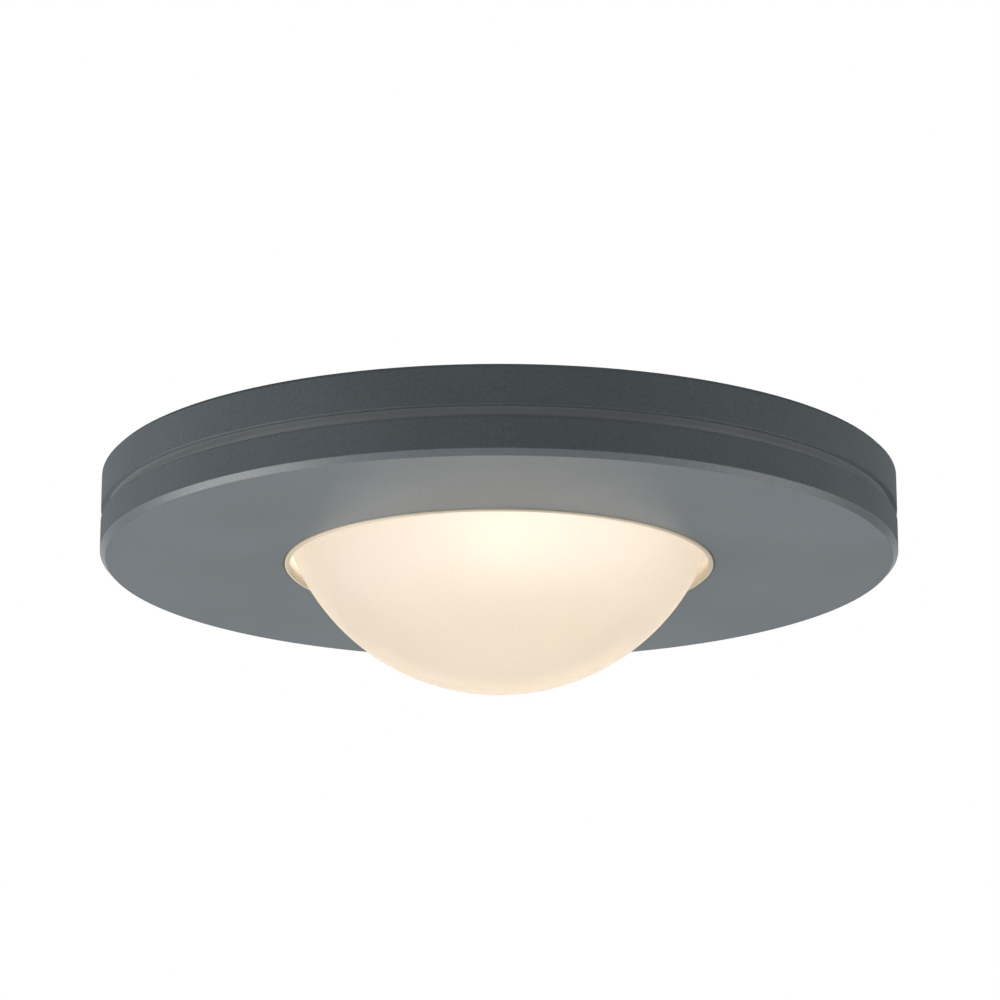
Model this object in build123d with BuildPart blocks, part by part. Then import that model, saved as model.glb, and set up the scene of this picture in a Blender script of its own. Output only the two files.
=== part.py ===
from build123d import *

import os
from math import acos, degrees, sqrt

os.makedirs("parts", exist_ok=True)

# Disk light: a flat round ceiling light whose face ring screws on and holds a frosted glass dome.
# Millimetres. The origin is the centre of the back face, and +Z points into the ceiling that it hangs from.

# Outside of the disk
disk_radius = 35.0
housing_height = 4.2
seam_groove_height = 0.75
seam_groove_step = 0.5
seam_groove_depth = 0.8
seam_edge_break = 0.07
seam_shoulder_drop = 0.2
back_edge_chamfer = 0.3
front_edge_round = 0.7

# Layers, from the back face down to the front face
back_wall = 1.7
pad_thickness = 0.25
board_thickness = 1.0
reflector_thickness = 0.65
cushion_thickness = 0.5
flange_thickness = 1.5
gasket_thickness = 0.5
face_thickness = 1.5

# Edge of the opening in the face ring
opening_edge_break = 0.12
opening_land = 0.35

# Glass dome
dome_gap = 1.18
dome_depth = 11.1
lens_wall = 2.0
neck_clearance = 0.3
flange_overlap = 3.4
flange_edge_round = 0.3

# Soft rings around the glass
gasket_lip = 0.7
gasket_lip_proud = 0.05
gasket_skirt = 0.4
gasket_skirt_proud = 0.15
gasket_skirt_chamfer = 0.1
soft_clearance = 0.05
cushion_width = 4.0
cushion_inset = 0.3
lens_side_clearance = 0.3
locating_ridge_width = 0.8
locating_ridge_height = 1.2

# Thread between the housing and the face ring
rim_wall = 3.0
thread_pitch = 1.2
thread_depth = 0.55
thread_crest_width = 0.28
thread_root_width = 0.6
thread_clearance = 0.15
thread_end_gap = 0.05
thread_bite = 0.1
spigot_wall = 1.4
spigot_gap = 0.3

# Seal in the seam
seal_width = 1.2
seal_depth = 0.8
seal_corner_chamfer = 0.2

# Back face: gasket groove, mounting holes and cable entry
rear_gasket_land = 2.0
rear_gasket_width = 3.0
rear_gasket_thickness = 0.6
mount_hole_radius = 1.8
mount_hole_margin = 1.7
mount_head_room = 4.0
grommet_margin = 1.5
grommet_bore_radius = 2.0
grommet_neck_radius = 3.0
grommet_flange_radius = 4.0
grommet_back_flange = 0.6
grommet_inner_flange = 0.7
grommet_room = 0.4

# Circuit board, reflector and their screws; the parts band is the board's ring outside the glass
board_edge_clearance = 0.5
parts_band = 6.0
thermal_pad_radius = 12.0
screw_margin = 3.4
screw_count = 3
screw_start_angle = 30.0
screw_shank_radius = 1.0
screw_hole_clearance = 0.1
screw_thread_clearance = 0.03
screw_grip = 1.0
screw_tip_gap = 0.2
screw_head_radius = 1.9
screw_head_height = 1.2
screw_head_round = 0.45
screw_recess_length = 2.2
screw_recess_width = 0.45
screw_recess_depth = 0.6
screw_land_radius = 2.8
reflector_margin = 0.2
reflector_ear_width = 5.0
reflector_window_radius = 4.2
reflector_window_bevel = 0.4

# Light source
led_package_side = 5.0
led_package_height = 0.7
led_dome_radius = 2.1

# Parts soldered along the board's rim, each with its place round the rim in degrees
part_corner_round = 0.25
lead_thickness = 0.2
lead_reach = 0.9

rectifier_angle = 118.0
rectifier_length = 4.7
rectifier_depth = 3.9
rectifier_height = 2.3
rectifier_lead_width = 0.6
rectifier_lead_spacing = 2.5
rectifier_lead_height = 1.1

chip_angle = 212.0
chip_length = 4.9
chip_depth = 3.9
chip_height = 1.5
chip_leads_per_side = 4
chip_lead_width = 0.4
chip_lead_spacing = 1.27
chip_lead_height = 0.8

inductor_angle = 236.0
inductor_side = 4.9
inductor_height = 2.2
inductor_corner_round = 1.0
inductor_ring_radius = 1.8
inductor_ring_width = 0.3
inductor_ring_depth = 0.3

capacitor_angles = (133.0, 197.0, 254.0)
capacitor_length = 2.5
capacitor_depth = 3.2
capacitor_height = 1.6

diode_angle = 334.0
diode_length = 4.3
diode_depth = 2.6
diode_height = 2.1
diode_lead_width = 1.4
diode_lead_height = 1.1

resistor_angles = (286.0, 293.0, 300.0, 307.0)
resistor_length = 1.6
resistor_depth = 3.2
resistor_height = 0.6
resistor_corner_round = 0.1

terminal_angle = 60.0
terminal_length = 6.0
terminal_depth = 5.2
terminal_height = 2.5
terminal_spacing = 2.5
terminal_bore_radius = 0.8
terminal_bore_height = 1.25
contact_clearance = 0.05
contact_length = 2.0
contact_foot_width = 1.2

# Levels of the layers
ceiling = -back_wall
board_top = ceiling - pad_thickness
board_bottom = board_top - board_thickness
led_level = board_bottom - led_package_height
reflector_bottom = board_bottom - reflector_thickness
flange_top = reflector_bottom - cushion_thickness
flange_bottom = flange_top - flange_thickness
face_back = flange_bottom - gasket_thickness
front = face_back - face_thickness
seam = -housing_height

# Radii from the rim inwards: thread, spigot, board, locating ridge, glass flange and opening
bore_radius = disk_radius - rim_wall
spigot_crest_radius = bore_radius - thread_clearance
spigot_radius = spigot_crest_radius - thread_depth
spigot_inner_radius = spigot_radius - spigot_wall
spigot_top = ceiling - spigot_gap
board_radius = spigot_inner_radius - board_edge_clearance
screw_circle = board_radius - screw_margin
parts_circle = board_radius - parts_band / 2
ridge_outer_radius = board_radius - parts_band
ridge_inner_radius = ridge_outer_radius - locating_ridge_width
flange_radius = ridge_inner_radius - lens_side_clearance
opening_radius = flange_radius - flange_overlap

# Places in the back wall, inside the rear gasket
gasket_outer_radius = disk_radius - rear_gasket_land
gasket_inner_radius = gasket_outer_radius - rear_gasket_width
mount_spacing = 2 * (gasket_inner_radius - mount_hole_margin - mount_hole_radius)
grommet_offset = gasket_inner_radius - grommet_margin - grommet_flange_radius

# Radii of the dome and of the rings around it
dome_foot_radius = opening_radius - dome_gap
dome_radius = (dome_foot_radius**2 + dome_depth**2) / (2 * dome_depth)
dome_bottom = front - dome_depth
dome_centre = dome_bottom + dome_radius
lip_seat_radius = opening_radius + gasket_lip
lip_inner_radius = opening_radius - gasket_lip_proud
skirt_outer_radius = opening_radius - soft_clearance
skirt_inner_radius = skirt_outer_radius - gasket_skirt
skirt_bottom = front - gasket_skirt_proud
neck_radius = lip_inner_radius - neck_clearance
reflector_radius = flange_radius + reflector_margin

# Seal groove in the middle of the seam's flat face
seal_radius = (bore_radius + disk_radius - seam_groove_depth) / 2
seal_inner_radius = seal_radius - seal_width / 2
seal_outer_radius = seal_radius + seal_width / 2

# Thread turns: the housing's ridge runs half a pitch above the face ring's
spigot_thread_start = seam + thread_end_gap + thread_root_width / 2
spigot_thread_height = spigot_top - thread_end_gap - thread_root_width / 2 - spigot_thread_start
bore_thread_start = spigot_thread_start + thread_pitch / 2
bore_thread_height = ceiling - thread_end_gap - thread_root_width / 2 - bore_thread_start


def under_board(angle):
    """The board's lower face at one place near its rim: X along the rim, Y towards the middle, Z down."""
    place = Vector(parts_circle, 0, board_bottom).rotate(Axis.Z, angle)
    along_rim = Vector(0, -1, 0).rotate(Axis.Z, angle)
    return Plane(origin=place, x_dir=along_rim, z_dir=(0, 0, -1))


# Housing: turned pan with a threaded bore, a stepped groove along its seam, lands for the board's screws
# and the holes in its back
with BuildPart() as housing:
    with BuildSketch(Plane.XZ):
        with BuildLine():
            Polyline(
                (0, 0),
                (disk_radius - back_edge_chamfer, 0),
                (disk_radius, -back_edge_chamfer),
                (disk_radius, seam + seam_groove_height + seam_edge_break),
                (disk_radius - seam_edge_break, seam + seam_groove_height),
                (disk_radius - seam_groove_step, seam + seam_groove_height),
                (disk_radius - seam_groove_depth, seam),
                (bore_radius, seam),
                (bore_radius, ceiling),
                (0, ceiling),
                close=True,
            )
        make_face()
    revolve(axis=Axis.Z)
    with BuildSketch(Plane.XY):
        Circle(gasket_outer_radius)
        Circle(gasket_inner_radius, mode=Mode.SUBTRACT)
    extrude(amount=-rear_gasket_thickness, mode=Mode.SUBTRACT)
    with BuildSketch(Plane.XY.offset(ceiling)):
        with PolarLocations(screw_circle, screw_count, screw_start_angle):
            Circle(screw_land_radius)
    extrude(amount=-pad_thickness)
    with BuildSketch(Plane.XY.offset(board_top)):
        with PolarLocations(screw_circle, screw_count, screw_start_angle):
            Circle(screw_shank_radius + screw_thread_clearance)
    extrude(amount=pad_thickness + screw_grip + screw_tip_gap, mode=Mode.SUBTRACT)
    with GridLocations(mount_spacing, 0, 2, 1):
        Hole(mount_hole_radius)
    with Locations((0, grommet_offset)):
        CounterBoreHole(
            grommet_neck_radius + soft_clearance,
            grommet_flange_radius + soft_clearance,
            grommet_back_flange,
        )
    with BuildLine() as bore_helix:
        Helix(thread_pitch, bore_thread_height, bore_radius, center=(0, 0, bore_thread_start))
    bore_ridge_plane = Plane(origin=bore_helix.line @ 0, x_dir=(1, 0, 0), z_dir=bore_helix.line % 0)
    with BuildSketch(bore_ridge_plane) as bore_ridge:
        with BuildLine():
            Polyline(
                (thread_bite, -thread_root_width / 2),
                (0, -thread_root_width / 2),
                (-thread_depth, -thread_crest_width / 2),
                (-thread_depth, thread_crest_width / 2),
                (0, thread_root_width / 2),
                (thread_bite, thread_root_width / 2),
                close=True,
            )
        make_face()
    sweep(bore_ridge.sketch, path=bore_helix.line, is_frenet=True)
housing.part.label = "housing"
export_step(housing.part, "parts/housing.step")

# Rear gasket: foam ring in the groove of the back, flush with it when pressed to the ceiling
with BuildPart() as rear_gasket:
    with BuildSketch(Plane.XY):
        Circle(gasket_outer_radius - soft_clearance)
        Circle(gasket_inner_radius + soft_clearance, mode=Mode.SUBTRACT)
    extrude(amount=-rear_gasket_thickness)
rear_gasket.part.label = "rear_gasket"
export_step(rear_gasket.part, "parts/rear_gasket.step")

# Cable grommet: rubber bush in the back wall, with a flange on each side of it
with BuildPart() as cable_grommet:
    with BuildSketch(Plane.XZ.offset(-grommet_offset)):
        with BuildLine():
            Polyline(
                (grommet_bore_radius, 0),
                (grommet_flange_radius, 0),
                (grommet_flange_radius, -grommet_back_flange),
                (grommet_neck_radius, -grommet_back_flange),
                (grommet_neck_radius, ceiling),
                (grommet_flange_radius, ceiling),
                (grommet_flange_radius, ceiling - grommet_inner_flange),
                (grommet_bore_radius, ceiling - grommet_inner_flange),
                close=True,
            )
        make_face()
    revolve(axis=Axis((0, grommet_offset, 0), (0, 0, 1)))
cable_grommet.part.label = "cable_grommet"
export_step(cable_grommet.part, "parts/cable_grommet.step")

# Thermal pad: soft disc that carries the board's heat into the housing
with BuildPart() as thermal_pad:
    with BuildSketch(Plane.XY.offset(board_top)):
        Circle(thermal_pad_radius)
    extrude(amount=pad_thickness)
thermal_pad.part.label = "thermal_pad"
export_step(thermal_pad.part, "parts/thermal_pad.step")

# Light board: round metal-core board, notched for the two mounting screws and the cable
with BuildPart() as light_board:
    with BuildSketch(Plane.XY.offset(board_bottom)):
        Circle(board_radius)
        with GridLocations(mount_spacing, 0, 2, 1):
            Circle(mount_head_room, mode=Mode.SUBTRACT)
        with Locations((0, grommet_offset)):
            Circle(grommet_flange_radius + grommet_room, mode=Mode.SUBTRACT)
            Rectangle(
                2 * (grommet_flange_radius + grommet_room),
                board_radius,
                align=(Align.CENTER, Align.MIN),
                mode=Mode.SUBTRACT,
            )
        with PolarLocations(screw_circle, screw_count, screw_start_angle):
            Circle(screw_shank_radius + screw_hole_clearance, mode=Mode.SUBTRACT)
    extrude(amount=board_thickness)
light_board.part.label = "light_board"
export_step(light_board.part, "parts/light_board.step")

# LED package: square ceramic carrier soldered in the middle of the board
with BuildPart() as led_package:
    with BuildSketch(Plane.XY.offset(board_bottom)):
        RectangleRounded(led_package_side, led_package_side, part_corner_round)
    extrude(amount=-led_package_height)
led_package.part.label = "led_package"
export_step(led_package.part, "parts/led_package.step")

# LED dome: clear silicone half ball moulded over the light-emitting chips
with BuildPart() as led_dome:
    with BuildSketch(Plane.XZ):
        with BuildLine():
            Polyline((0, led_level - led_dome_radius), (0, led_level), (led_dome_radius, led_level))
            CenterArc((0, led_level), led_dome_radius, -90, 90)
        make_face()
    revolve(axis=Axis.Z)
led_dome.part.label = "led_dome"
export_step(led_dome.part, "parts/led_dome.step")

# Rectifier: moulded bridge, with its four leads soldered on both long sides
with BuildPart(under_board(rectifier_angle)) as rectifier:
    Box(rectifier_length, rectifier_depth, rectifier_height, align=(Align.CENTER, Align.CENTER, Align.MIN))
    chamfer(rectifier.faces().sort_by(Axis.Z)[0].edges(), part_corner_round)
rectifier.part.label = "rectifier"
export_step(rectifier.part, "parts/rectifier.step")

with BuildPart(under_board(rectifier_angle)) as rectifier_leads:
    with GridLocations(rectifier_lead_spacing, rectifier_depth + lead_reach, 2, 2):
        Box(rectifier_lead_width, lead_reach, lead_thickness, align=(Align.CENTER, Align.CENTER, Align.MIN))
    with GridLocations(rectifier_lead_spacing, rectifier_depth + lead_thickness, 2, 2):
        Box(
            rectifier_lead_width,
            lead_thickness,
            rectifier_lead_height,
            align=(Align.CENTER, Align.CENTER, Align.MIN),
        )
rectifier_leads.part.label = "rectifier_leads"
export_step(rectifier_leads.part, "parts/rectifier_leads.step")

# Driver chip: moulded regulator with a row of leads on both long sides
with BuildPart(under_board(chip_angle)) as driver_chip:
    Box(chip_length, chip_depth, chip_height, align=(Align.CENTER, Align.CENTER, Align.MIN))
    chamfer(driver_chip.faces().sort_by(Axis.Z)[0].edges(), part_corner_round)
driver_chip.part.label = "driver_chip"
export_step(driver_chip.part, "parts/driver_chip.step")

with BuildPart(under_board(chip_angle)) as driver_chip_leads:
    with GridLocations(chip_lead_spacing, chip_depth + lead_reach, chip_leads_per_side, 2):
        Box(chip_lead_width, lead_reach, lead_thickness, align=(Align.CENTER, Align.CENTER, Align.MIN))
    with GridLocations(chip_lead_spacing, chip_depth + lead_thickness, chip_leads_per_side, 2):
        Box(
            chip_lead_width,
            lead_thickness,
            chip_lead_height,
            align=(Align.CENTER, Align.CENTER, Align.MIN),
        )
driver_chip_leads.part.label = "driver_chip_leads"
export_step(driver_chip_leads.part, "parts/driver_chip_leads.step")

# Power inductor: square ferrite block with the round end of its drum core let into it
with BuildPart() as power_inductor:
    with BuildSketch(under_board(inductor_angle)):
        RectangleRounded(inductor_side, inductor_side, inductor_corner_round)
    extrude(amount=inductor_height)
    with BuildSketch(under_board(inductor_angle).offset(inductor_height)):
        Circle(inductor_ring_radius)
        Circle(inductor_ring_radius - inductor_ring_width, mode=Mode.SUBTRACT)
    extrude(amount=-inductor_ring_depth, mode=Mode.SUBTRACT)
power_inductor.part.label = "power_inductor"
export_step(power_inductor.part, "parts/power_inductor.step")

# Capacitors: ceramic blocks beside the rectifier, the chip and the inductor
with BuildPart() as capacitors:
    for angle in capacitor_angles:
        with BuildSketch(under_board(angle)):
            RectangleRounded(capacitor_length, capacitor_depth, part_corner_round)
        extrude(amount=capacitor_height)
capacitors.part.label = "capacitors"
export_step(capacitors.part, "parts/capacitors.step")

# Catch diode: moulded block with a lead folded under each end
with BuildPart(under_board(diode_angle)) as catch_diode:
    Box(diode_length, diode_depth, diode_height, align=(Align.CENTER, Align.CENTER, Align.MIN))
    chamfer(catch_diode.faces().sort_by(Axis.Z)[0].edges(), part_corner_round)
catch_diode.part.label = "catch_diode"
export_step(catch_diode.part, "parts/catch_diode.step")

with BuildPart(under_board(diode_angle)) as diode_leads:
    with GridLocations(diode_length + lead_reach, 0, 2, 1):
        Box(lead_reach, diode_lead_width, lead_thickness, align=(Align.CENTER, Align.CENTER, Align.MIN))
    with GridLocations(diode_length + lead_thickness, 0, 2, 1):
        Box(
            lead_thickness,
            diode_lead_width,
            diode_lead_height,
            align=(Align.CENTER, Align.CENTER, Align.MIN),
        )
diode_leads.part.label = "diode_leads"
export_step(diode_leads.part, "parts/diode_leads.step")

# Sense resistors: flat chips in a row
with BuildPart() as sense_resistors:
    for angle in resistor_angles:
        with BuildSketch(under_board(angle)):
            RectangleRounded(resistor_length, resistor_depth, resistor_corner_round)
        extrude(amount=resistor_height)
sense_resistors.part.label = "sense_resistors"
export_step(sense_resistors.part, "parts/sense_resistors.step")

# Terminal block: push-in block for the two supply wires, open towards the cable entry
with BuildPart(under_board(terminal_angle)) as terminal_block:
    Box(terminal_length, terminal_depth, terminal_height, align=(Align.CENTER, Align.CENTER, Align.MIN))
    chamfer(terminal_block.faces().sort_by(Axis.Z)[0].edges(), part_corner_round)
    with Locations((0, 0, terminal_bore_height)):
        with GridLocations(0, terminal_spacing, 1, 2):
            Cylinder(terminal_bore_radius, terminal_length, rotation=(0, 90, 0), mode=Mode.SUBTRACT)
terminal_block.part.label = "terminal_block"
export_step(terminal_block.part, "parts/terminal_block.step")

# Terminal contacts: a pin in the end of each bore, with a foot soldered to the board
with BuildPart(under_board(terminal_angle)) as terminal_contacts:
    with Locations((terminal_length / 2 - contact_length, 0, terminal_bore_height)):
        with GridLocations(0, terminal_spacing, 1, 2):
            Cylinder(
                terminal_bore_radius - contact_clearance,
                contact_length + lead_thickness,
                rotation=(0, 90, 0),
                align=(Align.CENTER, Align.CENTER, Align.MIN),
            )
    with Locations((terminal_length / 2, 0, 0)):
        with GridLocations(0, terminal_spacing, 1, 2):
            Box(
                lead_thickness,
                contact_foot_width,
                terminal_bore_height,
                align=(Align.MIN, Align.CENTER, Align.MIN),
            )
            Box(lead_reach, contact_foot_width, lead_thickness, align=(Align.MIN, Align.CENTER, Align.MIN))
terminal_contacts.part.label = "terminal_contacts"
export_step(terminal_contacts.part, "parts/terminal_contacts.step")

# Reflector: white plate over the board, with a window for the LED and an ear under each screw
with BuildPart() as reflector:
    with BuildSketch(Plane.XY.offset(reflector_bottom)):
        Circle(reflector_radius)
        with PolarLocations(screw_circle, screw_count, screw_start_angle):
            Rectangle(screw_circle / 2, reflector_ear_width, align=(Align.MAX, Align.CENTER))
            Circle(reflector_ear_width / 2)
        with PolarLocations(screw_circle, screw_count, screw_start_angle):
            Circle(screw_shank_radius + screw_hole_clearance, mode=Mode.SUBTRACT)
        Circle(reflector_window_radius, mode=Mode.SUBTRACT)
    extrude(amount=reflector_thickness)
    window_edge = reflector.faces().sort_by(Axis.Z)[0].inner_wires().sort_by(SortBy.LENGTH)[-1].edges()
    chamfer(window_edge, reflector_window_bevel)
reflector.part.label = "reflector"
export_step(reflector.part, "parts/reflector.step")

# Reflector screws: round heads with a cross slot, through the ear and the board into the housing's lands
with BuildPart() as reflector_screws:
    with BuildSketch(Plane.XY.offset(reflector_bottom)):
        with PolarLocations(screw_circle, screw_count, screw_start_angle):
            Circle(screw_head_radius)
    extrude(amount=-screw_head_height)
    fillet(reflector_screws.edges().group_by(Axis.Z)[0], screw_head_round)
    with BuildSketch(Plane.XY.offset(reflector_bottom)):
        with PolarLocations(screw_circle, screw_count, screw_start_angle):
            Circle(screw_shank_radius)
    extrude(amount=reflector_thickness + board_thickness + pad_thickness + screw_grip)
    with BuildSketch(Plane.XY.offset(reflector_bottom - screw_head_height)):
        with PolarLocations(screw_circle, screw_count, screw_start_angle):
            Rectangle(screw_recess_length, screw_recess_width)
            Rectangle(screw_recess_width, screw_recess_length)
    extrude(amount=screw_recess_depth, mode=Mode.SUBTRACT)
reflector_screws.part.label = "reflector_screws"
export_step(reflector_screws.part, "parts/reflector_screws.step")

# Lens cushion: soft ring between the reflector's edge and the glass flange
with BuildPart() as lens_cushion:
    with BuildSketch(Plane.XY.offset(flange_top)):
        Circle(flange_radius - cushion_inset)
        Circle(flange_radius - cushion_inset - cushion_width, mode=Mode.SUBTRACT)
    extrude(amount=cushion_thickness)
lens_cushion.part.label = "lens_cushion"
export_step(lens_cushion.part, "parts/lens_cushion.step")

# Lens: pressed glass dome, round as part of a ball, with a short neck and the flat flange that is clamped
dome_inner_radius = dome_radius - lens_wall
dome_outer_sweep = degrees(acos((dome_centre - front) / dome_radius))
dome_inner_sweep = degrees(acos((dome_centre - flange_top) / dome_inner_radius))
flange_mouth_radius = sqrt(dome_inner_radius**2 - (dome_centre - flange_top) ** 2)
with BuildPart() as lens:
    with BuildSketch(Plane.XZ):
        with BuildLine():
            CenterArc((0, dome_centre), dome_radius, -90, dome_outer_sweep)
            Polyline(
                (dome_foot_radius, front),
                (neck_radius, flange_bottom),
                (flange_radius, flange_bottom),
                (flange_radius, flange_top),
                (flange_mouth_radius, flange_top),
            )
            CenterArc((0, dome_centre), dome_inner_radius, -90, dome_inner_sweep)
            Line((0, dome_bottom + lens_wall), (0, dome_bottom))
        make_face()
    revolve(axis=Axis.Z)
    flange_rims = lens.edges().filter_by(GeomType.CIRCLE).sort_by(SortBy.RADIUS)[-2:]
    fillet(flange_rims, flange_edge_round)
lens.part.label = "lens"
export_step(lens.part, "parts/lens.step")

# Lens gasket: silicone ring under the flange, with a keyed lip whose skirt lines the opening down to the face
with BuildPart() as lens_gasket:
    with BuildSketch(Plane.XZ):
        with BuildLine():
            Polyline(
                (lip_inner_radius, flange_bottom),
                (flange_radius, flange_bottom),
                (flange_radius, face_back),
                (lip_seat_radius - soft_clearance, face_back),
                (lip_seat_radius - soft_clearance, front + opening_land),
                (skirt_outer_radius, front + opening_land),
                (skirt_outer_radius, skirt_bottom + gasket_skirt_chamfer),
                (skirt_outer_radius - gasket_skirt_chamfer, skirt_bottom),
                (skirt_inner_radius + gasket_skirt_chamfer, skirt_bottom),
                (skirt_inner_radius, skirt_bottom + gasket_skirt_chamfer),
                close=True,
            )
        make_face()
    revolve(axis=Axis.Z)
lens_gasket.part.label = "lens_gasket"
export_step(lens_gasket.part, "parts/lens_gasket.step")

# Trim ring: turned face ring with a rounded front edge, a shoulder below the seam, a seal groove and a thread
with BuildPart() as trim_ring:
    with BuildSketch(Plane.XZ):
        with BuildLine():
            Line((opening_radius + opening_edge_break, front), (disk_radius - front_edge_round, front))
            CenterArc((disk_radius - front_edge_round, front + front_edge_round), front_edge_round, -90, 90)
            Polyline(
                (disk_radius, front + front_edge_round),
                (disk_radius, seam - seam_shoulder_drop - seam_edge_break),
                (disk_radius - seam_edge_break, seam - seam_shoulder_drop),
                (disk_radius - seam_groove_depth, seam - seam_shoulder_drop),
                (disk_radius - seam_groove_depth, seam),
                (seal_outer_radius, seam),
                (seal_outer_radius, seam - seal_depth),
                (seal_inner_radius, seam - seal_depth),
                (seal_inner_radius, seam),
                (spigot_radius, seam),
                (spigot_radius, spigot_top),
                (spigot_inner_radius, spigot_top),
                (spigot_inner_radius, face_back),
                (ridge_outer_radius, face_back),
                (ridge_outer_radius, face_back + locating_ridge_height),
                (ridge_inner_radius, face_back + locating_ridge_height),
                (ridge_inner_radius, face_back),
                (lip_seat_radius, face_back),
                (lip_seat_radius, front + opening_land),
                (opening_radius, front + opening_land),
                (opening_radius, front + opening_edge_break),
                (opening_radius + opening_edge_break, front),
            )
        make_face()
    revolve(axis=Axis.Z)
    with BuildLine() as spigot_helix:
        Helix(thread_pitch, spigot_thread_height, spigot_radius, center=(0, 0, spigot_thread_start))
    spigot_ridge_plane = Plane(origin=spigot_helix.line @ 0, x_dir=(1, 0, 0), z_dir=spigot_helix.line % 0)
    with BuildSketch(spigot_ridge_plane) as spigot_ridge:
        with BuildLine():
            Polyline(
                (-thread_bite, -thread_root_width / 2),
                (0, -thread_root_width / 2),
                (thread_depth, -thread_crest_width / 2),
                (thread_depth, thread_crest_width / 2),
                (0, thread_root_width / 2),
                (-thread_bite, thread_root_width / 2),
                close=True,
            )
        make_face()
    sweep(spigot_ridge.sketch, path=spigot_helix.line, is_frenet=True)
trim_ring.part.label = "trim_ring"
export_step(trim_ring.part, "parts/trim_ring.step")

# Trim seal: rubber ring in the groove, pressed flat against the housing's seam face
with BuildPart() as trim_seal:
    with BuildSketch(Plane.XY.offset(seam)):
        Circle(seal_outer_radius - soft_clearance)
        Circle(seal_inner_radius + soft_clearance, mode=Mode.SUBTRACT)
    extrude(amount=-seal_depth)
    chamfer(trim_seal.edges().filter_by(GeomType.CIRCLE), seal_corner_chamfer)
trim_seal.part.label = "trim_seal"
export_step(trim_seal.part, "parts/trim_seal.step")
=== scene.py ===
import math

import bpy
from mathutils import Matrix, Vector


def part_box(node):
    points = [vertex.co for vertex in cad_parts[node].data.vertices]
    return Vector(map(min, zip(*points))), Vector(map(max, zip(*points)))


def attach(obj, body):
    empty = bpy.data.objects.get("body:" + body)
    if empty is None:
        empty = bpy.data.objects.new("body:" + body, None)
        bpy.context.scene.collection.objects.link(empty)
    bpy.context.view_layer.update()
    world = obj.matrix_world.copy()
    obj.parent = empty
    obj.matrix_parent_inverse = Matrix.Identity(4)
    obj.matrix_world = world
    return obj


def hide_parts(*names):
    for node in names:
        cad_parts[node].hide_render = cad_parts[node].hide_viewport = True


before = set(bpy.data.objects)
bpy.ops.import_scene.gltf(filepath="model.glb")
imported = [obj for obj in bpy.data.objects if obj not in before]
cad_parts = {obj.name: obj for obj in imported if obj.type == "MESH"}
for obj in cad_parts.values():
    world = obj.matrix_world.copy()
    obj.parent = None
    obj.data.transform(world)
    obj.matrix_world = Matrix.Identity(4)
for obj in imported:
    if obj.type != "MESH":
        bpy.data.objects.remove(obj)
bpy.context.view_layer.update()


# Housing: the pan that is screwed to the ceiling, turned from aluminium and powder-painted grey outside.
# The baked paint has a fine grain and dust specks. The seam's groove is painted paler as painted light, and
# the wall's lower corner and back edge are painted darker as painted shade.
# The bore, its thread and the seam face were turned after painting and are bare metal.
def feed(tree, node, **inputs):
    """Sets each named input of a node to a value, or links it to the output that is given."""
    for name, value in inputs.items():
        socket = node.inputs[name.replace("_", " ")]
        if isinstance(value, bpy.types.NodeSocket):
            tree.links.new(value, socket)
        else:
            socket.default_value = value
    return node


def add(tree, kind, options=None, **inputs):
    """A new shader node of this kind, with its options set and its inputs fed."""
    node = tree.nodes.new("ShaderNode" + kind)
    for option, value in (options or {}).items():
        setattr(node, option, value)
    return feed(tree, node, **inputs)


def reckon(tree, operation, *values):
    """The result of one sum on values or outputs."""
    node = add(tree, "Math", {"operation": operation})
    for socket, value in zip(node.inputs, values):
        if isinstance(value, bpy.types.NodeSocket):
            tree.links.new(value, socket)
        else:
            socket.default_value = value
    return node.outputs[0]


def blend_colours(tree, share, first, second):
    """The first colour turning into the second one as the share goes from 0 to 1."""
    node = add(tree, "Mix", {"data_type": "RGBA"})
    for socket, value in zip((node.inputs[0], node.inputs[6], node.inputs[7]), (share, first, second)):
        if isinstance(value, bpy.types.NodeSocket):
            tree.links.new(value, socket)
        elif isinstance(value, tuple):
            socket.default_value = (*value, 1)
        else:
            socket.default_value = value
    return node.outputs[2]


def ramp_value(tree, value, low, high, start=0.0, end=1.0):
    """A value that goes smoothly from start to end between two limits."""
    node = add(
        tree, "MapRange", {"interpolation_type": "SMOOTHSTEP"},
        Value=value, From_Min=low, From_Max=high, To_Min=start, To_Max=end,
    )
    return node.outputs[0]


def within(tree, value, low, high):
    """1 where a value lies between two limits, and 0 elsewhere."""
    over = reckon(tree, "GREATER_THAN", value, low)
    return reckon(tree, "MULTIPLY", over, reckon(tree, "LESS_THAN", value, high))


def place_on_piece(tree, turn=0.0):
    """Where a point is on its piece, turned back by an angle: X, Y, Z and the radius from the axis."""
    spot = add(tree, "TexCoord").outputs["Object"]
    if turn:
        spot = add(tree, "Mapping", Vector=spot, Rotation=(0, 0, -math.radians(turn))).outputs[0]
    x, y, z = add(tree, "SeparateXYZ", Vector=spot).outputs
    across = reckon(tree, "ADD", reckon(tree, "MULTIPLY", x, x), reckon(tree, "MULTIPLY", y, y))
    return x, y, z, reckon(tree, "SQRT", across)


def new_group(name, inputs, outputs):
    """An effect that several finishes share: its tree, its inputs with their usual values, its outputs."""
    tree = bpy.data.node_groups.new(name, "ShaderNodeTree")
    for label, usual in inputs.items():
        socket = tree.interface.new_socket(label, in_out="INPUT", socket_type="NodeSocketFloat")
        socket.default_value = usual
    for label in outputs:
        tree.interface.new_socket(label, in_out="OUTPUT", socket_type="NodeSocketFloat")
    return tree, tree.nodes.new("NodeGroupInput").outputs, tree.nodes.new("NodeGroupOutput")


def place_group(tree, effect, **inputs):
    """One use of a shared effect in a finish, with its own values."""
    node = tree.nodes.new("ShaderNodeGroup")
    node.node_tree = effect
    return feed(tree, node, **inputs).outputs


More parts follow.
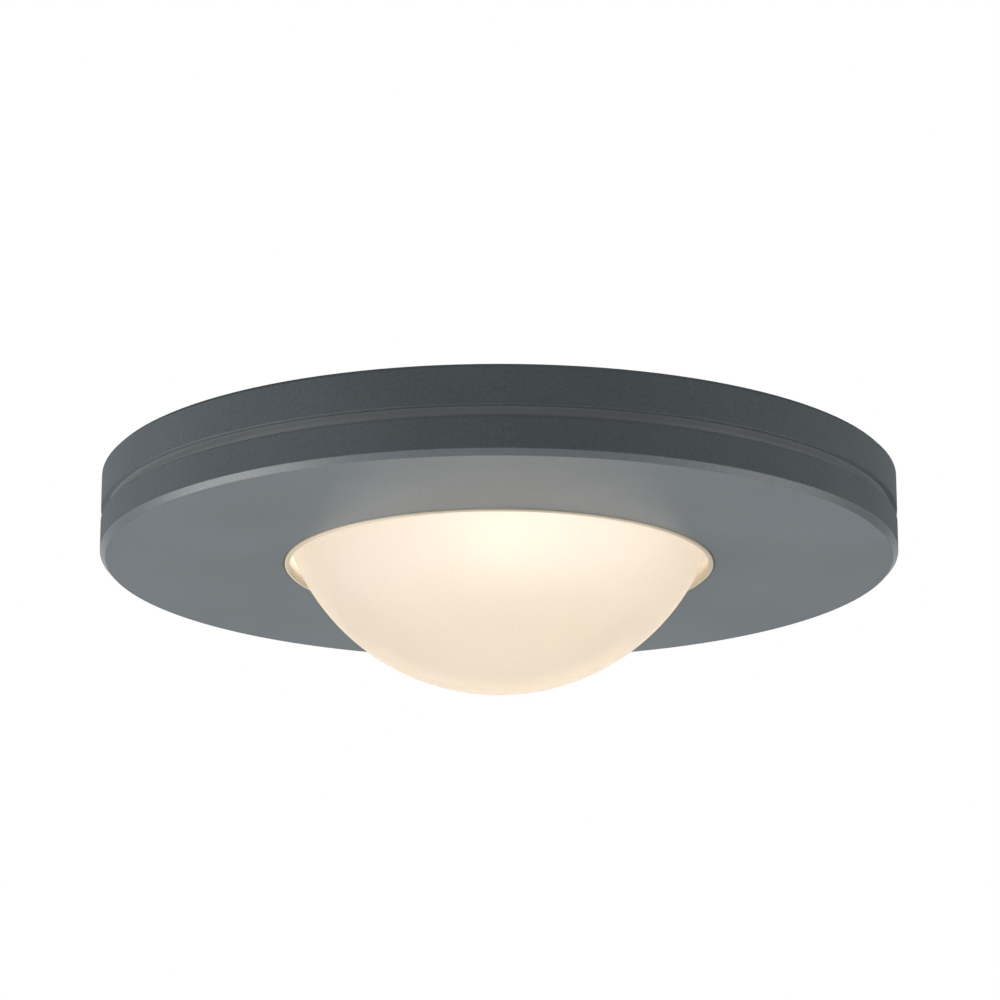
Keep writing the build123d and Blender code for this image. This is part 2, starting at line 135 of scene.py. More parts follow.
def new_finish(name):
    """A new material, its node tree and its shader."""
    finish = bpy.data.materials.new(name)
    finish.use_nodes = True
    return finish, finish.node_tree, finish.node_tree.nodes["Principled BSDF"]


def dress(finish, *nodes):
    """Gives one or more pieces a finish."""
    for node in nodes:
        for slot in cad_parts[node].material_slots:
            slot.material = finish


# Shared effect: the grain of a coated, cast or moulded surface, with slow clouds of tone under it
grain_effect, given, made = new_group(
    "surface grain", {"Grain Size": 0.0002, "Cloud Size": 0.02}, ["Grain", "Cloud"]
)
spot = add(grain_effect, "TexCoord").outputs["Object"]
grain_scale = reckon(grain_effect, "DIVIDE", 1.0, given["Grain Size"])
cloud_scale = reckon(grain_effect, "DIVIDE", 1.0, given["Cloud Size"])
grain = add(grain_effect, "TexNoise", Vector=spot, Scale=grain_scale, Detail=2.0, Roughness=0.6)
cloud = add(grain_effect, "TexNoise", Vector=spot, Scale=cloud_scale, Detail=3.0, Roughness=0.5)
feed(grain_effect, made, Grain=grain.outputs[0], Cloud=cloud.outputs[0])

# Shared effect: specks of dust, pits or nicks, a few of many cells, each a tiny dot of its own size
speck_effect, given, made = new_group(
    "dust specks", {"Spacing": 0.002, "Share": 0.2, "Speck Size": 0.00006}, ["Specks"]
)
spot = add(speck_effect, "TexCoord").outputs["Object"]
speck_scale = reckon(speck_effect, "DIVIDE", 1.0, given["Spacing"])
cells = add(speck_effect, "TexVoronoi", Vector=spot, Scale=speck_scale)
chance = add(speck_effect, "SeparateColor", Color=cells.outputs["Color"]).outputs
reach = reckon(speck_effect, "MULTIPLY", given["Speck Size"], speck_scale)
reach = reckon(speck_effect, "MULTIPLY", reach, reckon(speck_effect, "ADD", chance[1], 0.3))
dot = reckon(speck_effect, "LESS_THAN", cells.outputs["Distance"], reach)
chosen = reckon(speck_effect, "LESS_THAN", chance[0], given["Share"])
feed(speck_effect, made, Specks=reckon(speck_effect, "MULTIPLY", dot, chosen))

# Shared effect: edges, where paint is thin or a moulding is rubbed, broken up by noise
edge_effect, given, made = new_group("rubbed edges", {"Width": 0.0002, "Patch Size": 0.003}, ["Edges"])
rounded = add(edge_effect, "Bevel", {"samples": 6}, Radius=given["Width"]).outputs[0]
facing = add(edge_effect, "NewGeometry").outputs["Normal"]
agree = add(edge_effect, "VectorMath", {"operation": "DOT_PRODUCT"})
edge_effect.links.new(rounded, agree.inputs[0])
edge_effect.links.new(facing, agree.inputs[1])
edge = ramp_value(edge_effect, agree.outputs["Value"], 0.995, 0.85)
spot = add(edge_effect, "TexCoord").outputs["Object"]
patch_scale = reckon(edge_effect, "DIVIDE", 1.0, given["Patch Size"])
patches = add(edge_effect, "TexNoise", Vector=spot, Scale=patch_scale, Detail=4.0, Roughness=0.7)
worn = ramp_value(edge_effect, patches.outputs[0], 0.35, 0.75)
feed(edge_effect, made, Edges=reckon(edge_effect, "MULTIPLY", edge, worn))

# Shared effect: the fine rings that a lathe tool leaves round the axis of a turned piece
lathe_effect, given, made = new_group("lathe rings", {"Feed": 0.00012}, ["Rings"])
_, _, height, radius = place_on_piece(lathe_effect)
along = reckon(lathe_effect, "DIVIDE", reckon(lathe_effect, "ADD", radius, height), given["Feed"])
rings = reckon(lathe_effect, "SINE", reckon(lathe_effect, "MULTIPLY", along, 2 * math.pi))
feed(lathe_effect, made, Rings=ramp_value(lathe_effect, rings, -1.0, 1.0))


def painted_turning(name, bare_radius, bare_low, bare_high):
    """Grey paint on a turned piece, bare metal inside a radius between two heights; painted light in its
    groove, painted shade on two edges.
    """
    paint = (0.122, 0.142, 0.153)
    thin_edge_paint_and_groove_light = (0.21, 0.23, 0.24)
    groove_foot_light = (0.30, 0.325, 0.335)
    corner_shade_paint = (0.055, 0.065, 0.072)
    back_edge_shade_paint = (0.05, 0.058, 0.063)
    dust = (0.40, 0.41, 0.40)
    metal = (0.74, 0.74, 0.73)
    groove_radius, groove_low, groove_high = 0.03497, -0.0046, -0.0034
    groove_foot_light_from, groove_foot_light_to = -0.0037, -0.0042
    corner_shade_radius, corner_shade_low, corner_shade_high = 0.03486, -0.0036, -0.00337
    back_edge_shade_radius, back_edge_shade_level = 0.03465, -0.00031
    front_edge_from, front_edge_to = -0.0064, -0.0069
    wiped_from, wiped_to = -0.00704, -0.0071
    finish, tree, shader = new_finish(name)
    surface = place_group(tree, grain_effect, Grain_Size=0.00018, Cloud_Size=0.012)
    edges = place_group(tree, edge_effect, Width=0.00016, Patch_Size=0.002)
    specks = place_group(tree, speck_effect, Spacing=0.0022, Share=0.2, Speck_Size=0.00006)
    rings = place_group(tree, lathe_effect, Feed=0.00015)
    _, _, height, radius = place_on_piece(tree)
    inside = reckon(tree, "LESS_THAN", radius, bare_radius)
    bare = reckon(tree, "MULTIPLY", inside, within(tree, height, bare_low, bare_high))
    tone = reckon(tree, "ADD", reckon(tree, "MULTIPLY", surface["Grain"], 2.0), surface["Cloud"])
    dark_paint, light_paint = (tuple(share * c for c in paint) for share in (0.87, 1.13))
    colour = blend_colours(tree, ramp_value(tree, tone, 0.9, 2.1), dark_paint, light_paint)
    # The seam's groove is painted paler, palest towards its foot: painted light in place of the shade that
    # falls in the groove.
    painted_groove_light = reckon(tree, "LESS_THAN", radius, groove_radius)
    painted_groove_light = reckon(tree, "MULTIPLY", painted_groove_light, within(tree, height, groove_low, groove_high))
    colour = blend_colours(tree, reckon(tree, "MULTIPLY", painted_groove_light, 0.6), colour, thin_edge_paint_and_groove_light)
    painted_groove_foot_light = reckon(tree, "MULTIPLY", painted_groove_light, ramp_value(tree, height, groove_foot_light_from, groove_foot_light_to))
    colour = blend_colours(tree, painted_groove_foot_light, colour, groove_foot_light)
    # The lower corner of the wall is painted darker: painted shade that hides the highlight line there.
    painted_corner_shade = reckon(tree, "GREATER_THAN", radius, corner_shade_radius)
    painted_corner_shade = reckon(tree, "MULTIPLY", painted_corner_shade, within(tree, height, corner_shade_low, corner_shade_high))
    colour = blend_colours(tree, reckon(tree, "MULTIPLY", painted_corner_shade, 0.35), colour, corner_shade_paint)
    # The back edge is painted darker, as painted shade that hides its highlight; it is also left without
    # gloss.
    painted_back_edge_shade = reckon(tree, "GREATER_THAN", radius, back_edge_shade_radius)
    painted_back_edge_shade = reckon(tree, "MULTIPLY", painted_back_edge_shade, reckon(tree, "GREATER_THAN", height, back_edge_shade_level))
    colour = blend_colours(tree, painted_back_edge_shade, colour, back_edge_shade_paint)
    near_face = ramp_value(tree, height, front_edge_from, front_edge_to, 0.0, 0.15)
    face_edges = reckon(tree, "MULTIPLY", edges["Edges"], near_face)
    colour = blend_colours(tree, face_edges, colour, thin_edge_paint_and_groove_light)
    colour = blend_colours(tree, reckon(tree, "MULTIPLY", specks["Specks"], 0.35), colour, dust)
    colour = blend_colours(tree, bare, colour, metal)
    satin = ramp_value(tree, surface["Cloud"], 0.3, 0.7, 0.5, 0.6)
    smooth = ramp_value(tree, height, wiped_from, wiped_to, 0.15, 0.9)
    matt = reckon(tree, "MAXIMUM", bare, painted_back_edge_shade)
    gloss = reckon(tree, "MULTIPLY", smooth, reckon(tree, "SUBTRACT", 1.0, matt))
    turned = ramp_value(tree, rings["Rings"], 0.0, 1.0, 0.28, 0.40)
    rough = add(tree, "Mix", Factor=bare)
    tree.links.new(satin, rough.inputs[2])
    tree.links.new(turned, rough.inputs[3])
    relief = reckon(tree, "ADD", surface["Grain"], reckon(tree, "MULTIPLY", rings["Rings"], bare))
    bump = add(tree, "Bump", Strength=0.2, Distance=0.00002, Height=relief)
    feed(
        tree, shader, Base_Color=colour, Metallic=bare, Roughness=rough.outputs[0], Specular_IOR_Level=0.0,
        Coat_Weight=gloss, Coat_Roughness=0.35, Normal=bump.outputs[0],
    )
    return finish


bore_radius, bore_mouth, bore_end = 0.03415, -0.005, -0.00002
dress(painted_turning("grey paint on the housing", bore_radius, bore_mouth, bore_end), "housing")


# Rear gasket: a ring of black closed-cell foam, pressed flat between the housing and the ceiling.
# It is stamped from sheet, so the cells are cut open along its edges and show as fine pits.
foam, tree, shader = new_finish("black foam")
surface = place_group(tree, grain_effect, Grain_Size=0.00035, Cloud_Size=0.006)
pits = place_group(tree, speck_effect, Spacing=0.0005, Share=0.75, Speck_Size=0.00016)
colour = blend_colours(tree, surface["Cloud"], (0.020, 0.020, 0.021), (0.036, 0.036, 0.037))
# The pits are also painted darker, as painted shade inside the open cells.
colour = blend_colours(tree, reckon(tree, "MULTIPLY", pits["Specks"], 0.7), colour, (0.008, 0.008, 0.008))
relief = reckon(tree, "SUBTRACT", surface["Grain"], pits["Specks"])
bump = add(tree, "Bump", Strength=0.6, Distance=0.00006, Height=relief)
feed(tree, shader, Base_Color=colour, Roughness=0.92, Specular_IOR_Level=0.2, Normal=bump.outputs[0])
dress(foam, "rear_gasket")


# Cable grommet and trim seal: moulded black rubber, one a bush for the cable in the back wall,
# the other a ring in the seam. Both have a satin mould skin with a grey bloom in patches.
rubber, tree, shader = new_finish("black rubber")
surface = place_group(tree, grain_effect, Grain_Size=0.00012, Cloud_Size=0.004)
edges = place_group(tree, edge_effect, Width=0.00012, Patch_Size=0.001)
specks = place_group(tree, speck_effect, Spacing=0.0011, Share=0.3, Speck_Size=0.00006)
bloom = ramp_value(tree, surface["Cloud"], 0.45, 0.8)
colour = blend_colours(tree, bloom, (0.016, 0.016, 0.017), (0.034, 0.034, 0.035))
colour = blend_colours(tree, reckon(tree, "MULTIPLY", edges["Edges"], 0.4), colour, (0.06, 0.06, 0.06))
colour = blend_colours(tree, reckon(tree, "MULTIPLY", specks["Specks"], 0.4), colour, (0.25, 0.25, 0.24))
rough = ramp_value(tree, surface["Cloud"], 0.3, 0.8, 0.5, 0.72)
bump = add(tree, "Bump", Strength=0.2, Distance=0.00002, Height=surface["Grain"])
feed(tree, shader, Base_Color=colour, Roughness=rough, Specular_IOR_Level=0.4, Normal=bump.outputs[0])
dress(rubber, "cable_grommet", "trim_seal")


# Thermal pad: a die-cut disc of grey-blue silicone, pressed between the board and the housing.
# A glass-fibre cloth runs through it, and its weave shows in the soft face.
weave_pitch = 0.0006
pad_skin, tree, shader = new_finish("thermal silicone")
surface = place_group(tree, grain_effect, Grain_Size=0.00015, Cloud_Size=0.005)
x, y, _, _ = place_on_piece(tree)
warp = reckon(tree, "SINE", reckon(tree, "MULTIPLY", x, 2 * math.pi / weave_pitch))
weft = reckon(tree, "SINE", reckon(tree, "MULTIPLY", y, 2 * math.pi / weave_pitch))
cloth = ramp_value(tree, reckon(tree, "MULTIPLY", warp, weft), -1.0, 1.0)
colour = blend_colours(tree, surface["Cloud"], (0.36, 0.39, 0.44), (0.46, 0.49, 0.54))
colour = blend_colours(tree, reckon(tree, "MULTIPLY", cloth, 0.3), colour, (0.55, 0.57, 0.60))
bump = add(tree, "Bump", Strength=0.4, Distance=0.00003, Height=cloth)
feed(tree, shader, Base_Color=colour, Roughness=0.65, Normal=bump.outputs[0])
dress(pad_skin, "thermal_pad")


# Light board: a round aluminium-core circuit board, routed from sheet and screwed down with the reflector.
# Its lower face has a white solder mask over ring-shaped copper tracks; the back and the cut edge are bare.
track_pitch = 0.0032
track_gap = 0.12
board_skin, tree, shader = new_finish("white circuit board")
surface = place_group(tree, grain_effect, Grain_Size=0.00015, Cloud_Size=0.01)
edges = place_group(tree, edge_effect, Width=0.00015, Patch_Size=0.001)
_, _, _, radius = place_on_piece(tree)
front_facing = add(tree, "SeparateXYZ", Vector=add(tree, "TexCoord").outputs["Normal"]).outputs[2]
masked = reckon(tree, "LESS_THAN", front_facing, -0.5)
lane = reckon(tree, "FRACT", reckon(tree, "DIVIDE", radius, track_pitch))
gap = reckon(tree, "LESS_THAN", lane, track_gap)
colour = blend_colours(tree, surface["Cloud"], (0.80, 0.81, 0.79), (0.86, 0.87, 0.85))
colour = blend_colours(tree, reckon(tree, "MULTIPLY", gap, 0.35), colour, (0.70, 0.72, 0.70))
colour = blend_colours(tree, reckon(tree, "MULTIPLY", edges["Edges"], 0.5), colour, (0.62, 0.60, 0.55))
colour = blend_colours(tree, masked, (0.70, 0.70, 0.69), colour)
rough = ramp_value(tree, surface["Grain"], 0.3, 0.7, 0.32, 0.42)
relief = reckon(tree, "SUBTRACT", reckon(tree, "MULTIPLY", surface["Grain"], 0.3), gap)
bump = add(tree, "Bump", Strength=0.3, Distance=0.00003, Height=relief)
feed(
    tree, shader, Base_Color=colour, Metallic=reckon(tree, "SUBTRACT", 1.0, masked), Roughness=rough,
    Normal=bump.outputs[0],
)
dress(board_skin, "light_board")


# LED package: a square of white ceramic, soldered to the middle of the board on gold-plated pads.
# The plating shows as a thin band at its foot, and the pressed ceramic has a fine chalky grain.
foot_height = 0.00012
ceramic, tree, shader = new_finish("led ceramic")
surface = place_group(tree, grain_effect, Grain_Size=0.0001, Cloud_Size=0.002)
edges = place_group(tree, edge_effect, Width=0.0001, Patch_Size=0.0008)
_, _, height, _ = place_on_piece(tree)
board_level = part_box("led_package")[1][2]
plated = reckon(tree, "GREATER_THAN", height, board_level - foot_height)
colour = blend_colours(tree, surface["Cloud"], (0.80, 0.78, 0.73), (0.88, 0.86, 0.82))
colour = blend_colours(tree, reckon(tree, "MULTIPLY", edges["Edges"], 0.5), colour, (0.92, 0.91, 0.88))
colour = blend_colours(tree, plated, colour, (0.83, 0.66, 0.32))
rough = ramp_value(tree, surface["Grain"], 0.3, 0.7, 0.5, 0.62)
bump = add(tree, "Bump", Strength=0.2, Distance=0.00001, Height=surface["Grain"])
feed(tree, shader, Base_Color=colour, Metallic=plated, Roughness=rough, Normal=bump.outputs[0])
dress(ceramic, "led_package")


# LED dome: a half ball of clear silicone, moulded over the chips and the yellow phosphor on them.
# It is the lamp itself, so it shines warm white, strongest in the middle where the chips are.
chip_field = 0.0012
phosphor, tree, shader = new_finish("led silicone")
surface = place_group(tree, grain_effect, Grain_Size=0.00015, Cloud_Size=0.001)
_, _, _, radius = place_on_piece(tree)
core = ramp_value(tree, radius, 0.0, 1.6 * chip_field, 1.0, 0.0)
colour = blend_colours(tree, surface["Cloud"], (0.90, 0.72, 0.30), (0.96, 0.82, 0.45))
shine = blend_colours(tree, core, (0.97, 0.98, 0.97), (0.96, 1.0, 1.07))
bump = add(tree, "Bump", Strength=0.05, Distance=0.00001, Height=surface["Grain"])
feed(
    tree, shader, Base_Color=colour, Roughness=0.12, IOR=1.41, Emission_Color=shine, Emission_Strength=3.4,
    Normal=bump.outputs[0],
)
dress(phosphor, "led_dome")


# Rectifier, driver chip and catch diode: black epoxy, moulded round their silicon and soldered to the board.
# The mould leaves a matt grain, a round ejector mark on the chip and a printed bar on the diode's one end.
epoxy_dark = (0.018, 0.018, 0.020)
epoxy_light = (0.034, 0.034, 0.036)
bar_colour = (0.55, 0.55, 0.53)


def black_epoxy(name, node, bar=0.0, dimple=0.0):
    """Moulded epoxy; a bar is printed from this far along the piece, a dimple is a round mark's radius."""
    finish, tree, shader = new_finish(name)
    low, high = (Vector(c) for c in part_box(node))
    middle = (low + high) / 2
    turn = math.degrees(math.atan2(middle.y, middle.x))
    reach = math.hypot(middle.x, middle.y)
    surface = place_group(tree, grain_effect, Grain_Size=0.00006, Cloud_Size=0.003)
    edges = place_group(tree, edge_effect, Width=0.00008, Patch_Size=0.0006)
    outward, along, _, _ = place_on_piece(tree, turn)
    colour = blend_colours(tree, surface["Cloud"], epoxy_dark, epoxy_light)
    colour = blend_colours(tree, reckon(tree, "MULTIPLY", edges["Edges"], 0.4), colour, (0.07, 0.07, 0.07))
    relief = surface["Grain"]
    if bar:
        printed = reckon(tree, "GREATER_THAN", along, bar)
        colour = blend_colours(tree, printed, colour, bar_colour)
    if dimple:
        offset = reckon(tree, "SUBTRACT", outward, reach - 2.5 * dimple)
        side = reckon(tree, "SUBTRACT", along, 3.5 * dimple)
        away = reckon(tree, "SQRT", reckon(
            tree, "ADD", reckon(tree, "MULTIPLY", offset, offset), reckon(tree, "MULTIPLY", side, side)
        ))
        relief = reckon(tree, "SUBTRACT", relief, ramp_value(tree, away, dimple, 0.9 * dimple, 0.0, 2.0))
    rough = ramp_value(tree, surface["Grain"], 0.3, 0.7, 0.48, 0.62)
    bump = add(tree, "Bump", Strength=0.35, Distance=0.00001, Height=relief)
    feed(tree, shader, Base_Color=colour, Roughness=rough, Normal=bump.outputs[0])
    return finish


dress(black_epoxy("rectifier epoxy", "rectifier"), "rectifier")
dress(black_epoxy("driver chip epoxy", "driver_chip", dimple=0.0004), "driver_chip")
dress(black_epoxy("diode epoxy", "catch_diode", bar=0.0014), "catch_diode")


# Leads and contacts: stamped copper strips, tinned, bent and soldered to the board.
# Tin flows a little in the solder bath, so the skin is bright and faintly wavy, and duller in patches.
tin, tree, shader = new_finish("tinned copper")
surface = place_group(tree, grain_effect, Grain_Size=0.00012, Cloud_Size=0.0012)
edges = place_group(tree, edge_effect, Width=0.00005, Patch_Size=0.0005)
colour = blend_colours(tree, surface["Cloud"], (0.66, 0.66, 0.64), (0.78, 0.78, 0.76))
colour = blend_colours(tree, reckon(tree, "MULTIPLY", edges["Edges"], 0.3), colour, (0.78, 0.62, 0.48))
rough = ramp_value(tree, surface["Cloud"], 0.3, 0.7, 0.2, 0.38)
bump = add(tree, "Bump", Strength=0.2, Distance=0.00002, Height=surface["Grain"])
feed(tree, shader, Base_Color=colour, Metallic=1.0, Roughness=rough, Normal=bump.outputs[0])
dress(tin, "rectifier_leads", "driver_chip_leads", "diode_leads", "terminal_contacts")


# Power inductor: a block of sintered ferrite, pressed round its coil, with the drum's end let into the top.
# It is nearly black, matt and finely pitted, with small chips along its edges.
ferrite, tree, shader = new_finish("sintered ferrite")
surface = place_group(tree, grain_effect, Grain_Size=0.0001, Cloud_Size=0.0025)
edges = place_group(tree, edge_effect, Width=0.00012, Patch_Size=0.0005)
pits = place_group(tree, speck_effect, Spacing=0.0004, Share=0.4, Speck_Size=0.00006)
colour = blend_colours(tree, surface["Cloud"], (0.065, 0.065, 0.070), (0.105, 0.105, 0.110))
colour = blend_colours(tree, reckon(tree, "MULTIPLY", edges["Edges"], 0.6), colour, (0.17, 0.17, 0.175))
relief = reckon(tree, "SUBTRACT", surface["Grain"], pits["Specks"])
bump = add(tree, "Bump", Strength=0.4, Distance=0.00002, Height=relief)
feed(tree, shader, Base_Color=colour, Roughness=0.75, Normal=bump.outputs[0])
dress(ferrite, "power_inductor")


# Capacitors and sense resistors: ceramic chips, soldered by a cap of tin at each end.
# The capacitors are fired tan blocks, the resistors white slips under a black glaze.
def capped_chip(name, node, body_dark, body_light, cap_share, sheen):
    """A ceramic chip that stands on a ray from the board's middle, with tin on both ends of it."""
    finish, tree, shader = new_finish(name)
    surface = place_group(tree, grain_effect, Grain_Size=0.0001, Cloud_Size=0.0015)
    edges = place_group(tree, edge_effect, Width=0.0001, Patch_Size=0.0006)
    corners = [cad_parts[node].matrix_world @ v.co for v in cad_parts[node].data.vertices]
    reaches = [math.hypot(c.x, c.y) for c in corners]
    nearest, farthest = min(reaches), max(reaches)
    _, _, _, radius = place_on_piece(tree)
    share = ramp_value(tree, radius, nearest, farthest)
    from_middle = reckon(tree, "ABSOLUTE", reckon(tree, "SUBTRACT", share, 0.5))
    cap = reckon(tree, "GREATER_THAN", from_middle, 0.5 - cap_share)
    colour = blend_colours(tree, surface["Cloud"], body_dark, body_light)
    colour = blend_colours(tree, reckon(tree, "MULTIPLY", edges["Edges"], 0.3), colour, (0.6, 0.56, 0.5))
    colour = blend_colours(tree, cap, colour, (0.70, 0.70, 0.68))
    rough = ramp_value(tree, surface["Grain"], 0.3, 0.7, sheen, sheen + 0.12)
    bump = add(tree, "Bump", Strength=0.2, Distance=0.00001, Height=surface["Grain"])
    feed(tree, shader, Base_Color=colour, Metallic=cap, Roughness=rough, Normal=bump.outputs[0])
    return finish


capacitor_finish = capped_chip(
    "capacitor ceramic", "capacitors", (0.46, 0.33, 0.21), (0.56, 0.42, 0.28), 0.14, 0.5
)
dress(capacitor_finish, "capacitors")
resistor_finish = capped_chip(
    "resistor glaze", "sense_resistors", (0.022, 0.022, 0.025), (0.040, 0.040, 0.044), 0.11, 0.22
)
dress(resistor_finish, "sense_resistors")


# Terminal block: moulded off-white nylon with two wire holes, held to the board by its contacts' feet.
# The moulding is slightly waxy, with rubbed edges and a little dust.
nylon, tree, shader = new_finish("white nylon")
surface = place_group(tree, grain_effect, Grain_Size=0.0001, Cloud_Size=0.003)
edges = place_group(tree, edge_effect, Width=0.00015, Patch_Size=0.0008)
specks = place_group(tree, speck_effect, Spacing=0.0009, Share=0.3, Speck_Size=0.00004)
colour = blend_colours(tree, surface["Cloud"], (0.72, 0.71, 0.66), (0.80, 0.79, 0.75))
colour = blend_colours(tree, reckon(tree, "MULTIPLY", edges["Edges"], 0.5), colour, (0.87, 0.86, 0.83))
colour = blend_colours(tree, reckon(tree, "MULTIPLY", specks["Specks"], 0.5), colour, (0.35, 0.34, 0.31))
rough = ramp_value(tree, surface["Cloud"], 0.3, 0.7, 0.38, 0.5)
bump = add(tree, "Bump", Strength=0.15, Distance=0.00001, Height=surface["Grain"])
feed(tree, shader, Base_Color=colour, Roughness=rough, Subsurface_Weight=0.1, Normal=bump.outputs[0])
dress(nylon, "terminal_block")


# Reflector: a stamped plate of white plastic that covers the board, held by three screws through its ears.
# The light that the glass throws back is painted on it as a glow, bright all over and most of all next to
# the lamp.
painted_light_radius, painted_light_shift = 0.018, 0.003
reflector_skin, tree, shader = new_finish("white reflector plate")
surface = place_group(tree, grain_effect, Grain_Size=0.00012, Cloud_Size=0.008)
edges = place_group(tree, edge_effect, Width=0.0002, Patch_Size=0.002)
specks = place_group(tree, speck_effect, Spacing=0.003, Share=0.3, Speck_Size=0.00007)
x, y, _, _ = place_on_piece(tree)
x = reckon(tree, "SUBTRACT", x, painted_light_shift)
away = reckon(tree, "ADD", reckon(tree, "MULTIPLY", x, x), reckon(tree, "MULTIPLY", y, y))
# Painted light: an emission that stands for the lamp's light thrown back by the glass.
painted_light_share = ramp_value(tree, reckon(tree, "SQRT", away), 0.0, painted_light_radius, 1.0, 0.25)
colour = blend_colours(tree, surface["Cloud"], (0.84, 0.84, 0.82), (0.91, 0.91, 0.89))
colour = blend_colours(tree, reckon(tree, "MULTIPLY", edges["Edges"], 0.4), colour, (0.95, 0.95, 0.94))
colour = blend_colours(tree, reckon(tree, "MULTIPLY", specks["Specks"], 0.4), colour, (0.5, 0.49, 0.46))
painted_glow = blend_colours(tree, painted_light_share, (0.0, 0.0, 0.0), (1.0, 0.98, 0.97))
rough = ramp_value(tree, surface["Grain"], 0.3, 0.7, 0.36, 0.46)
bump = add(tree, "Bump", Strength=0.15, Distance=0.00001, Height=surface["Grain"])
feed(
    tree, shader, Base_Color=colour, Roughness=rough, Emission_Color=painted_glow, Emission_Strength=1.33,
    Normal=bump.outputs[0],
)
dress(reflector_skin, "reflector")


# Reflector screws: three small round-head steel screws with a cross slot, zinc-plated.
# The plating is cool and satin, and rubbed bright on the edges of the head and the slot.
plated_steel, tree, shader = new_finish("zinc-plated steel")
surface = place_group(tree, grain_effect, Grain_Size=0.00008, Cloud_Size=0.0015)
edges = place_group(tree, edge_effect, Width=0.00012, Patch_Size=0.0006)
colour = blend_colours(tree, surface["Cloud"], (0.54, 0.55, 0.57), (0.64, 0.65, 0.66))
colour = blend_colours(tree, reckon(tree, "MULTIPLY", edges["Edges"], 0.6), colour, (0.78, 0.78, 0.78))
rough = ramp_value(tree, surface["Cloud"], 0.3, 0.7, 0.28, 0.42)
bump = add(tree, "Bump", Strength=0.15, Distance=0.00001, Height=surface["Grain"])
feed(tree, shader, Base_Color=colour, Metallic=1.0, Roughness=rough, Normal=bump.outputs[0])
dress(plated_steel, "reflector_screws")


# Lens cushion and lens gasket: rings of cream, half-clear silicone that hold the glass on both sides.
# The gasket's skirt lines the opening of the face ring and stands a little proud of the face.
# Deep inside, the lamp's light that shines through the silicone is painted on as a glow, more on the left
# side than on the right.
lip_level, deep_level = -0.0075, -0.0062
opening_half = 0.019
silicone, tree, shader = new_finish("cream silicone")
surface = place_group(tree, grain_effect, Grain_Size=0.00015, Cloud_Size=0.004)
specks = place_group(tree, speck_effect, Spacing=0.0012, Share=0.25, Speck_Size=0.00005)
across, _, height, _ = place_on_piece(tree)
colour = blend_colours(tree, surface["Cloud"], (0.56, 0.48, 0.36), (0.62, 0.54, 0.42))
colour = blend_colours(tree, reckon(tree, "MULTIPLY", specks["Specks"], 0.4), colour, (0.55, 0.49, 0.40))
# Painted glow: an emission standing for the lamp's light through the silicone, deep in the opening.
painted_deep_glow = ramp_value(tree, height, lip_level, deep_level)
painted_deep_glow = reckon(tree, "MULTIPLY", painted_deep_glow, ramp_value(tree, across, opening_half, -opening_half, 0.5, 1.0))
painted_glow = blend_colours(tree, painted_deep_glow, (0.0, 0.0, 0.0), (0.94, 0.87, 0.74))
rough = ramp_value(tree, surface["Cloud"], 0.3, 0.7, 0.38, 0.5)
bump = add(tree, "Bump", Strength=0.15, Distance=0.00002, Height=surface["Grain"])
feed(
    tree, shader, Base_Color=colour, Roughness=rough, Emission_Color=painted_glow, Emission_Strength=0.65,
    Normal=bump.outputs[0],
)
dress(silicone, "lens_cushion", "lens_gasket")


# Lens: the dome of pressed glass, sandblasted so that the lamp behind it can't be seen sharply.
# It glows warm all over, brightest where the lamp shines straight through; the glow is painted light, darker
# towards the tip, brighter where the glass is seen slantwise and stronger on the right. The frost is finely
# mottled, with a few dust specks and painted glints of sparkling grains.
tip_from, tip_to = -0.0095, -0.0155
low_from, low_to = -0.0135, -0.0160
glass, tree, shader = new_finish("frosted glass")
surface = place_group(tree, grain_effect, Grain_Size=0.00022, Cloud_Size=0.006)
specks = place_group(tree, speck_effect, Spacing=0.0016, Share=0.25, Speck_Size=0.00006)
painted_sparkle = place_group(tree, speck_effect, Spacing=0.0007, Share=0.35, Speck_Size=0.00011)
mottle = reckon(tree, "ADD", reckon(tree, "MULTIPLY", surface["Grain"], 2.0), surface["Cloud"])
mottle = ramp_value(tree, mottle, 0.9, 2.1)
# The glass's glow is painted light: an emission standing for the lamp's light scattered in the frost.
painted_glow = blend_colours(tree, mottle, (0.86, 0.71, 0.57), (1.03, 0.875, 0.725))
painted_glow = blend_colours(tree, reckon(tree, "MULTIPLY", specks["Specks"], 0.25), painted_glow, (0.8, 0.66, 0.48))
across, _, height, _ = place_on_piece(tree)
painted_tip_share = ramp_value(tree, height, tip_from, tip_to)
painted_tip_glow = blend_colours(tree, mottle, (0.69, 0.51, 0.34), (0.91, 0.71, 0.51))
painted_glow = blend_colours(tree, painted_tip_share, painted_glow, painted_tip_glow)
painted_glow = blend_colours(tree, reckon(tree, "MULTIPLY", painted_sparkle["Specks"], 0.5), painted_glow, (1.2, 1.03, 0.85))
facing = add(tree, "LayerWeight").outputs["Facing"]
low = ramp_value(tree, height, low_from, low_to)
high = reckon(tree, "SUBTRACT", 1.0, low)
painted_slant_light = reckon(tree, "MULTIPLY", ramp_value(tree, facing, 0.55, 1.0), high)
painted_glow = blend_colours(tree, painted_slant_light, painted_glow, (1.25, 1.04, 0.85))
painted_tip_slant_light = reckon(tree, "MULTIPLY", ramp_value(tree, facing, 0.58, 0.76), low)
painted_glow = blend_colours(tree, painted_tip_slant_light, painted_glow, (1.5, 1.17, 0.85))
side = ramp_value(tree, across, -opening_half, opening_half)
painted_left_glow, painted_right_glow = (add(tree, "VectorMath", {"operation": "SCALE"}, Scale=s) for s in (0.9, 1.08))
for node in (painted_left_glow, painted_right_glow):
    tree.links.new(painted_glow, node.inputs[0])
painted_glow = blend_colours(tree, side, painted_left_glow.outputs[0], painted_right_glow.outputs[0])
